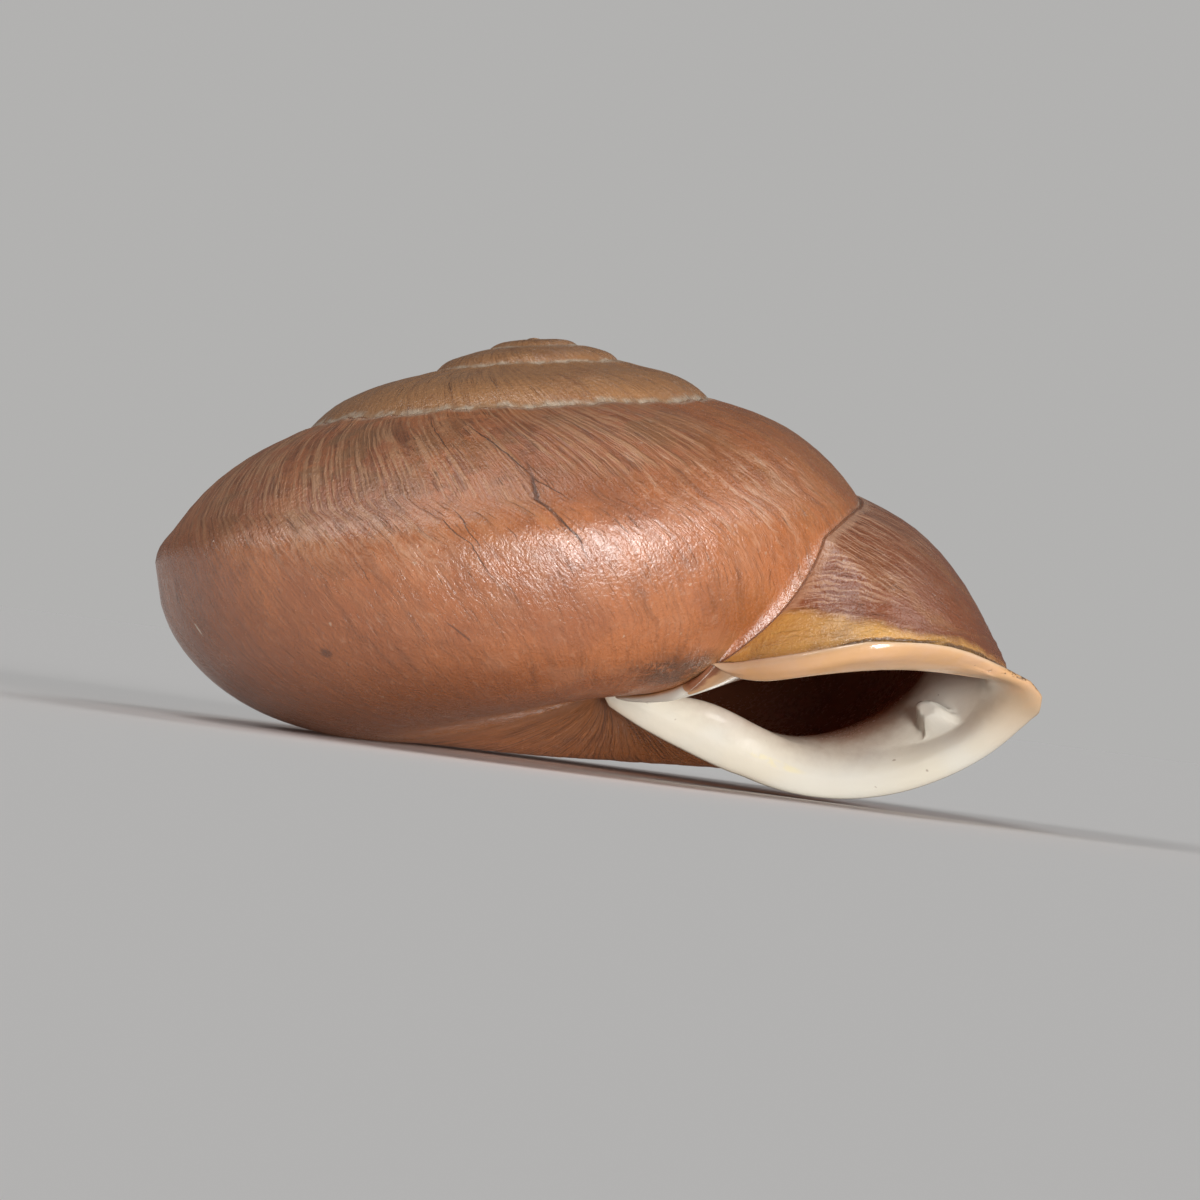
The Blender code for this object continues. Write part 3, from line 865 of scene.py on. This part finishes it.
# Lip and inside colours.
LIP_TAN = colour(0.70, 0.40, 0.21)
ENAMEL = colour(0.80, 0.765, 0.67)
CREAM = colour(0.80, 0.72, 0.565)
WARM_RIM = colour(0.50, 0.31, 0.155)
CALLUS_TAN = colour(0.57, 0.32, 0.155)
YELLOW_PATCH_AND_PAINTED_GLINT = colour(0.88, 0.78, 0.46)
INSIDE_TAUPE_AND_PAINTED_SHADE = colour(0.33, 0.21, 0.14)
INSIDE_BROWN_AND_PAINTED_SHADE = colour(0.34, 0.115, 0.055)
CRACK_DARK = colour(0.060, 0.020, 0.008)

# Cracks: turn, millimetres below the suture, half width, half length, slant.
CRACKS = (
    (4.3116, 5.6, 0.060, 2.5, -0.25), (4.3120, 9.4, 0.140, 1.8, 0.46), (4.3178, 11.7, 0.070, 1.2, 0.17),
    (4.3045, 9.0, 0.055, 0.9, -0.75), (4.3665, 12.6, 0.035, 1.6, 0.0), (4.3377, 3.6, 0.040, 2.0, 0.0),
    (4.3600, 11.7, 0.035, 1.1, 0.45),
)


def shell_material():
    material = bpy.data.materials.new("snail shell")
    material.use_nodes = True
    surface = material.node_tree.nodes["Principled BSDF"]
    streaks = streak_group()
    patches = patch_group()
    net = Net(material.node_tree)
    coat, times, plus, most, less = net.coat, net.times, net.plus, net.most, net.less
    rising, noise, vector = net.rising, net.noise, net.vector
    marks = [net.put("ShaderNodeAttribute", attribute_name=name).outputs["Fac"] for name in MARKS]
    grown, below, inward, around, glaze, foot = marks
    along = times(grown, WALL_PER_TURN)
    spot = net.scaled(net.put("ShaderNodeTexCoord").outputs["Object"], 1 / MM)

    def streaky(width, run, wander, seed):
        values = {"Width": width, "Length": run, "Wander": wander, "Seed": seed}
        return net.group(streaks, {"Along": along, "Down": below, **values})

    def patch(turn, down, half_width, half_length, slant, rag, soft, across=along):
        return net.group(patches, {
            "Along": across, "Down": below, "At along": turn * WALL_PER_TURN, "At down": down,
            "Half width": half_width, "Half length": half_length,
            "Slant": slant, "Rag": rag, "Softness": soft,
        })

    ribs = streaky(0.36, 9.0, 0.12, 1.0)
    crinkle = streaky(0.22, 0.95, 0.60, 31.0)
    scratch = streaky(0.15, 3.2, 0.20, 21.0)
    coarse = streaky(0.9, 6.0, 0.5, 4.0)
    broad = streaky(3.5, 14.0, 1.0, 8.0)
    cloud = noise(spot, 0.13, 3.0, 0.55)
    smoke = noise(spot, 0.3, 4.0, 0.6)
    mottle = noise(spot, 0.9, 4.0, 0.6)
    grain = noise(spot, 4.5, 3.0, 0.65)

    ragged = less(mottle, 0.5)
    frayed = times(ragged, 1.4)
    torn_wide = times(less(smoke, 0.5), 1.6)

    # The skin: tan on the early whorls, red-brown on the last, darker and redder near the mouth.
    skin = coat(TAN, RED_BROWN, rising(grown, 3.4, 4.25))
    skin = coat(skin, ORANGE_BROWN, rising(cloud, 0.4, 0.58), rising(grown, 3.7, 4.3), 0.85)
    skin = coat(skin, MAROON, rising(grown, 4.85, 5.05), 0.85)
    # Low on the front of the last whorl the skin goes rusty and darker: partly its own redder tone, partly
    # painted shade on the underside.
    low = times(rising(below, 13.0, 24.0), rising(grown, 4.28, 4.46), rising(grown, 4.8, 4.6))
    skin = coat(skin, RUST, low, 0.92)
    # The base is a paler rust: partly its own colour, partly painted light where the floor shades it.
    skin = coat(skin, BASE_RUST_AND_PAINTED_LIGHT, rising(below, 29.0, 36.0), 0.75)
    skin = coat(skin, RUST, rising(smoke, 0.52, 0.7), 0.4)
    skin = coat(skin, TAN, rising(broad, 0.48, 0.7), rising(below, 20.0, 9.0), 0.4)
    skin = coat(skin, STREAK_BROWN, rising(coarse, 0.53, 0.72), 0.5)
    wrinkled = rising(below, 26.0, 32.0, 0.22, 0.75)
    skin = coat(skin, STREAK_BROWN, rising(ribs, 0.48, 0.62), wrinkled)
    skin = coat(skin, STREAK_BROWN, rising(crinkle, 0.5, 0.72), 0.3)
    skin = coat(skin, WORN_PINK, rising(crinkle, 0.46, 0.28), wrinkled)
    skin = coat(skin, WORN_PINK, rising(ribs, 0.5, 0.38), rising(below, 28.0, 33.0), 0.3)
    specks = rising(noise(spot, 2.1, 1.0, 0.5), 0.76, 0.81)
    skin = coat(skin, DUSTY_WHITE, specks, 0.35)

    # Where the skin is rubbed below the suture, pale ribs stand on a dark rusty ground.
    rubbed = patch(4.43, 4.8, 20.0, 6.6, 0.0, torn_wide, 0.45)
    rubbed = most(rubbed, patch(4.25, 3.8, 12.0, 4.8, 0.3, torn_wide, 0.45))
    torn = rising(plus(times(mottle, 0.55), times(coarse, 0.45)), 0.46, 0.6)
    skin = coat(skin, RUST, rubbed, torn, 0.9)
    skin = coat(skin, OLIVE_BROWN, rubbed, rising(smoke, 0.5, 0.62), 0.6)
    raised = times(rising(ribs, 0.52, 0.42), rising(mottle, 0.36, 0.5, 0.35, 1.0))
    skin = coat(skin, RIB_TAN, rubbed, raised, 0.78)

    # Short thin scratches run with the growth lines over the upper part of the whorls.
    scratched = times(rising(scratch, 0.59, 0.67), rising(mottle, 0.42, 0.55), rising(below, 22.0, 12.0))
    skin = coat(skin, STREAK_BROWN, scratched, 0.8)

    # A dull pale bloom lies in patches, and pale wrinkles cross the upper right of the whorl. A pale pink
    # patch on the left of the whorl is a painted highlight.
    bloom = times(rising(smoke, 0.5, 0.34), rising(below, 4.0, 12.0), rising(grown, 4.46, 4.36))
    skin = coat(skin, WORN_PINK, bloom, 0.12)
    pale_wrinkles_and_painted_sheen = times(patch(4.205, 9.2, 8.5, 3.2, 0.0, torn_wide, 0.6), rising(coarse, 0.5, 0.38))
    # This patch on the left of the whorl is a painted highlight.
    pale_wrinkles_and_painted_sheen = most(pale_wrinkles_and_painted_sheen, times(patch(4.408, 12.0, 7.5, 1.7, 0.0, torn_wide, 0.7), 0.5))
    pale_wrinkles_and_painted_sheen = times(pale_wrinkles_and_painted_sheen, rising(crinkle, 0.6, 0.42), 1.7)
    # Pale streaks on the panel behind the lip: partly pale wrinkles, partly a painted highlight.
    panel_wrinkles_and_painted_sheen = times(rising(grown, 4.94, 5.04), rising(scratch, 0.5, 0.4), rising(below, 9.0, 2.5))
    skin = coat(skin, WORN_PINK, most(pale_wrinkles_and_painted_sheen, times(panel_wrinkles_and_painted_sheen, 1.7)), 0.42)

    # Dirt gathers in the suture, and a pale worn line runs along the foot of the whorl above it.
    above = rising(plus(foot, times(ragged, 0.09)), -0.08, -0.015)
    above = times(above, rising(foot, 0.06, 0.01))
    under = rising(plus(below, times(ragged, 0.9)), 0.8, 0.25)
    pale_line = most(times(above, rising(grown, 4.14, 4.08)), times(under, rising(grown, 4.9, 4.7)))
    worn = rising(mottle, 0.4, 0.58, 0.25, 1.0)
    skin = coat(skin, DUSTY_WHITE, pale_line, worn, 0.66)
    cord = times(rising(plus(below, times(ragged, 1.2)), 0.95, 0.45), rising(grown, 4.7, 4.95))
    skin = coat(skin, WORN_PINK, cord, 0.62)
    dirt = times(rising(plus(below, times(ragged, 0.4)), 0.16, 0.04), rising(grown, 4.3, 4.9, 0.4, 1.0))
    skin = coat(skin, DARK_BROWN, dirt, 0.75)

    # Long cracks in the skin run with the growth lines.
    sway = noise(vector(below, 0.0, 0.0), 0.9, 3.0, 0.6)
    swayed = net.reckon("MULTIPLY_ADD", sway, 0.6, along)
    cracks = 0.0
    for turn, down, half_width, half_length, slant in CRACKS:
        crack = patch(turn, down, half_width, half_length, slant, frayed, 1.1, swayed)
        cracks = most(cracks, crack)
    skin = coat(skin, STREAK_BROWN, rising(cracks, 0.02, 0.4), 0.7)
    cracks = times(rising(cracks, 0.4, 0.8), rising(grain, 0.34, 0.5, 0.45, 1.0))
    skin = coat(skin, DARK_BROWN, cracks, 0.95)

    # A few dark spots and one pale fleck.
    spots = patch(4.466, 18.7, 0.40, 0.34, 0.3, frayed, 0.4)
    spots = most(spots, patch(4.395, 17.8, 0.09, 0.6, -0.6, frayed, 0.4, swayed))
    skin = coat(skin, DARK_BROWN, spots, 0.8)
    skin = coat(skin, DUSTY_WHITE, patch(4.542, 16.6, 0.1, 0.34, 0.2, frayed, 0.3), 0.9)

    # A ragged brown stain where the last whorl drops onto the body whorl.
    stain = patch(4.276, 22.3, 4.6, 2.0, 0.0, frayed, 0.45)
    stain = times(stain, rising(plus(times(mottle, 0.6), times(crinkle, 0.4)), 0.36, 0.5))
    skin = coat(skin, DARK_BROWN, stain, 0.92)
    skin = coat(skin, CALLUS_TAN, glaze, 0.35)

    # An ochre band lies behind the upper lip, wide at the suture and narrow at the keel.
    band_width = plus(rising(around, 0.1, 1.1, -2.2, 0.0), rising(around, 0.6, 1.8, -1.1, -0.45))
    torn_edge = plus(inward, times(ragged, 1.1))
    band = rising(torn_edge, less(band_width, 0.6), plus(band_width, 0.3))
    ochre = coat(OCHRE, OLIVE_BROWN, rising(smoke, 0.46, 0.66), 0.45)
    ochre = coat(ochre, CREAM, rising(crinkle, 0.46, 0.3), 0.16)
    skin = coat(skin, ochre, band, 0.92)

    # The lip: an orange-tan bead above the keel, white enamel below it and inside.
    upper = rising(plus(around, times(ragged, 0.3)), 2.15, 1.8)
    white = coat(ENAMEL, CREAM, rising(cloud, 0.45, 0.7), 0.6)
    white = coat(white, WARM_RIM, rising(inward, 1.5, 0.2), 0.7)
    white = coat(white, WARM_RIM, rising(around, 2.6, 2.0), rising(inward, 7.5, 4.0), 0.9)
    # A yellow patch on the lower lip: partly the lip's own colour, partly a painted glint.
    glint_x = net.ratio(less(around, 3.3), 0.14)
    glint_y = net.ratio(less(inward, 2.7), 0.24)
    yellow_patch_and_painted_glint = times(rising(net.length(glint_x, glint_y, 0.0), 1.3, 0.7), rising(mottle, 0.42, 0.55))
    white = coat(white, YELLOW_PATCH_AND_PAINTED_GLINT, yellow_patch_and_painted_glint, 0.55)
    bead = coat(LIP_TAN, OCHRE, rising(smoke, 0.4, 0.65), 0.35)
    # The top of the bead is painted paler: a painted highlight along its crest.
    bead = coat(bead, CREAM, rising(inward, 1.1, 0.3), 0.35)
    lip = coat(white, bead, upper)
    on_body = rising(around, 3.97, 4.03)
    shifted = plus(around, rising(inward, 0.8, 1.7, 0.0, 0.03))
    pale_from = rising(shifted, 4.875, 4.897, 0.15, 4.1)
    callus = coat(CALLUS_TAN, ENAMEL, rising(inward, pale_from, plus(pale_from, 0.3)))
    soiled = times(rising(around, 4.865, 4.9), rising(plus(inward, times(ragged, 2.2)), 2.1, 1.3))
    callus = coat(callus, MAROON, soiled, 0.9)
    lip = coat(lip, callus, on_body)
    lip = coat(lip, STREAK_BROWN, specks, 0.45)
    # Deeper in the tube the lip turns taupe, then dark brown: partly the inside's own brown, partly painted
    # shade.
    inside_from = plus(rising(around, 1.6, 2.2, 3.4, 9.5), rising(around, 2.35, 2.95, 0.0, -5.3))
    inside_from = net.reckon("MULTIPLY_ADD", on_body, -0.5, inside_from)
    depth = plus(less(inward, inside_from), times(ragged, 2.0))
    lip = coat(lip, INSIDE_TAUPE_AND_PAINTED_SHADE, rising(depth, -1.5, 2.5), 0.85)
    lip = coat(lip, INSIDE_BROWN_AND_PAINTED_SHADE, rising(depth, 0.5, 5.0))
    edge = rising(inward, -0.1, 0.12)
    finish = coat(skin, lip, edge)

    # A thin dark crack parts the band from the bead.
    wave = plus(inward, times(ragged, 0.5), rising(around, 0.4, 1.0, -0.02, 0.5))
    seam = times(rising(wave, -0.17, -0.05), rising(wave, 0.17, 0.05))
    broken = rising(noise(vector(around, 0.0, 0.0), 9.0), 0.34, 0.46, 0.45, 1.0)
    seam = times(seam, broken, rising(around, 2.1, 1.9))
    finish = coat(finish, CRACK_DARK, seam, 0.75)

    # The tip of the keel is chipped, with grey and black specks.
    tip = times(rising(around, 1.72, 1.82), rising(around, 2.06, 1.98))
    tip = times(tip, rising(inward, -0.5, 0.1), rising(inward, 2.4, 1.4))
    chipped = times(tip, rising(noise(spot, 2.4, 3.0, 0.6), 0.54, 0.6))
    finish = coat(finish, CRACK_DARK, chipped, 0.7)
    finish = coat(finish, DUSTY_WHITE, tip, rising(grain, 0.58, 0.7), 0.5)

    net.feed(surface.inputs["Base Color"], finish)

    lip_gloss = times(edge, rising(depth, 3.0, -1.0))
    rough = rising(plus(times(grain, 0.5), times(smoke, 0.5)), 0.4, 0.6, 0.19, 0.29)
    # The side away from the mouth is duller.
    dull = times(rising(grown, 4.6, 4.76), rising(grown, 5.0, 4.9))
    rough = plus(rough, times(rubbed, 0.15), times(dull, 0.2), times(lip_gloss, -0.07))
    net.feed(surface.inputs["Roughness"], rough)
    surface.inputs["Specular IOR Level"].default_value = 1.00
    surface.inputs["IOR"].default_value = 1.65

    # Fine relief: ribs, crinkles and cracks on the skin; next to nothing on the enamel.
    height = plus(
        times(ribs, net.reckon("MULTIPLY_ADD", rubbed, -0.11, -0.03)), times(coarse, 0.04),
        times(crinkle, wrinkled, -0.26), times(mottle, 0.035), times(grain, 0.058),
        times(cracks, -0.06), times(scratched, -0.03),
    )
    height = times(height, less(1.0, edge))
    height = plus(height, times(seam, -0.08), times(chipped, -0.12), times(edge, mottle, 0.03))
    bump = net.put("ShaderNodeBump", {"Strength": 1.0, "Distance": MM, "Height": height})
    net.feed(surface.inputs["Normal"], bump.outputs[0])
    return material


# Room -------------------------------------------------------------------------------------------

FLOOR_RADIUS = 6.0
FLOOR_PALE = (0.80, 0.79, 0.78, 1.0)
FLOOR_SEEN = (0.446, 0.442, 0.435, 1.0)


def pale_floor():
    """A plain pale round floor, too wide to show its edge."""
    mesh = bpy.data.meshes.new("floor")
    shape = bmesh.new()
    bmesh.ops.create_circle(shape, cap_ends=True, radius=FLOOR_RADIUS, segments=96)
    shape.to_mesh(mesh)
    shape.free()
    material = bpy.data.materials.new("pale floor")
    material.use_nodes = True
    surface = material.node_tree.nodes["Principled BSDF"]
    surface.inputs["Base Color"].default_value = FLOOR_PALE
    surface.inputs["Roughness"].default_value = 0.9
    surface.inputs["Specular IOR Level"].default_value = 0.0
    mesh.materials.append(material)
    floor = bpy.data.objects.new("floor", mesh)
    bpy.context.scene.collection.objects.link(floor)
    return floor


def soft_light(name, azimuth, elevation, spread, strength):
    """A wide soft light far off: azimuth 0 in front and 90 to the right, spread in degrees."""
    light = bpy.data.lights.new(name, "SUN")
    light.angle = math.radians(spread)
    light.energy = strength
    a = math.radians(azimuth)
    e = math.radians(elevation)
    towards = Vector((math.sin(a) * math.cos(e), -math.cos(a) * math.cos(e), math.sin(e)))
    lamp = bpy.data.objects.new(name, light)
    lamp.location = towards * 0.5
    lamp.rotation_euler = towards.to_track_quat("Z", "Y").to_euler()
    bpy.context.scene.collection.objects.link(lamp)
    return lamp


# The view looks level along the shell as it grew, 300 mm from the axis, before the shell is laid down.
VIEW_FROM = (3.353, -300.0, 8.529)
VIEW_WIDTH = 70.59


def set_view(foot):
    camera = bpy.data.cameras.new("view")
    camera.sensor_width = 36.0
    camera.lens = camera.sensor_width * -VIEW_FROM[1] / VIEW_WIDTH
    camera.clip_start = 0.01
    camera.clip_end = 10.0
    viewer = bpy.data.objects.new("view", camera)
    turn = rest_turn()
    viewer.location = (turn @ Vector(VIEW_FROM) + Vector(foot)) * MM
    viewer.rotation_euler = (turn @ Matrix.Rotation(math.pi / 2, 3, "X")).to_euler()
    bpy.context.scene.collection.objects.link(viewer)
    bpy.context.scene.camera = viewer


def light_room(shell):
    soft_light("front softbox", 26, 5, 22, 2.2)
    # A card below the edge of the table lights the belly; the floor casts no shadow in its light.
    card = soft_light("low card", 31, -11, 16, 1.65)
    blockers = bpy.data.collections.new("in front of the low card")
    blockers.objects.link(shell)
    card.light_linking.blocker_collection = blockers
    soft_light("left softbox", -78, 34, 24, 0.62)
    soft_light("top softbox", -50, 66, 26, 0.5)
    soft_light("right softbox", 85, 47, 34, 0.5)
    world = bpy.context.scene.world or bpy.data.worlds.new("room")
    bpy.context.scene.world = world
    world.use_nodes = True
    tree = world.node_tree
    net = Net(tree)
    glow = tree.nodes["Background"]
    glow.inputs["Color"].default_value = (1.0, 1.0, 1.0, 1.0)
    glow.inputs["Strength"].default_value = 0.12
    # Beyond the floor's edge the eye meets the same pale tone as the floor's.
    seen = net.put("ShaderNodeBackground", {"Color": FLOOR_SEEN, "Strength": 1.0})
    to_eye = net.put("ShaderNodeLightPath").outputs["Is Camera Ray"]
    choice = net.put("ShaderNodeMixShader", {0: to_eye, 1: glow.outputs[0], 2: seen.outputs[0]})
    net.feed(tree.nodes["World Output"].inputs["Surface"], choice.outputs[0])
    bpy.context.scene.view_settings.view_transform = "Standard"


shell, foot = build_shell(shell_material())
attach(shell, "root")
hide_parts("shell")
pale_floor()
set_view(foot)
light_room(shell)
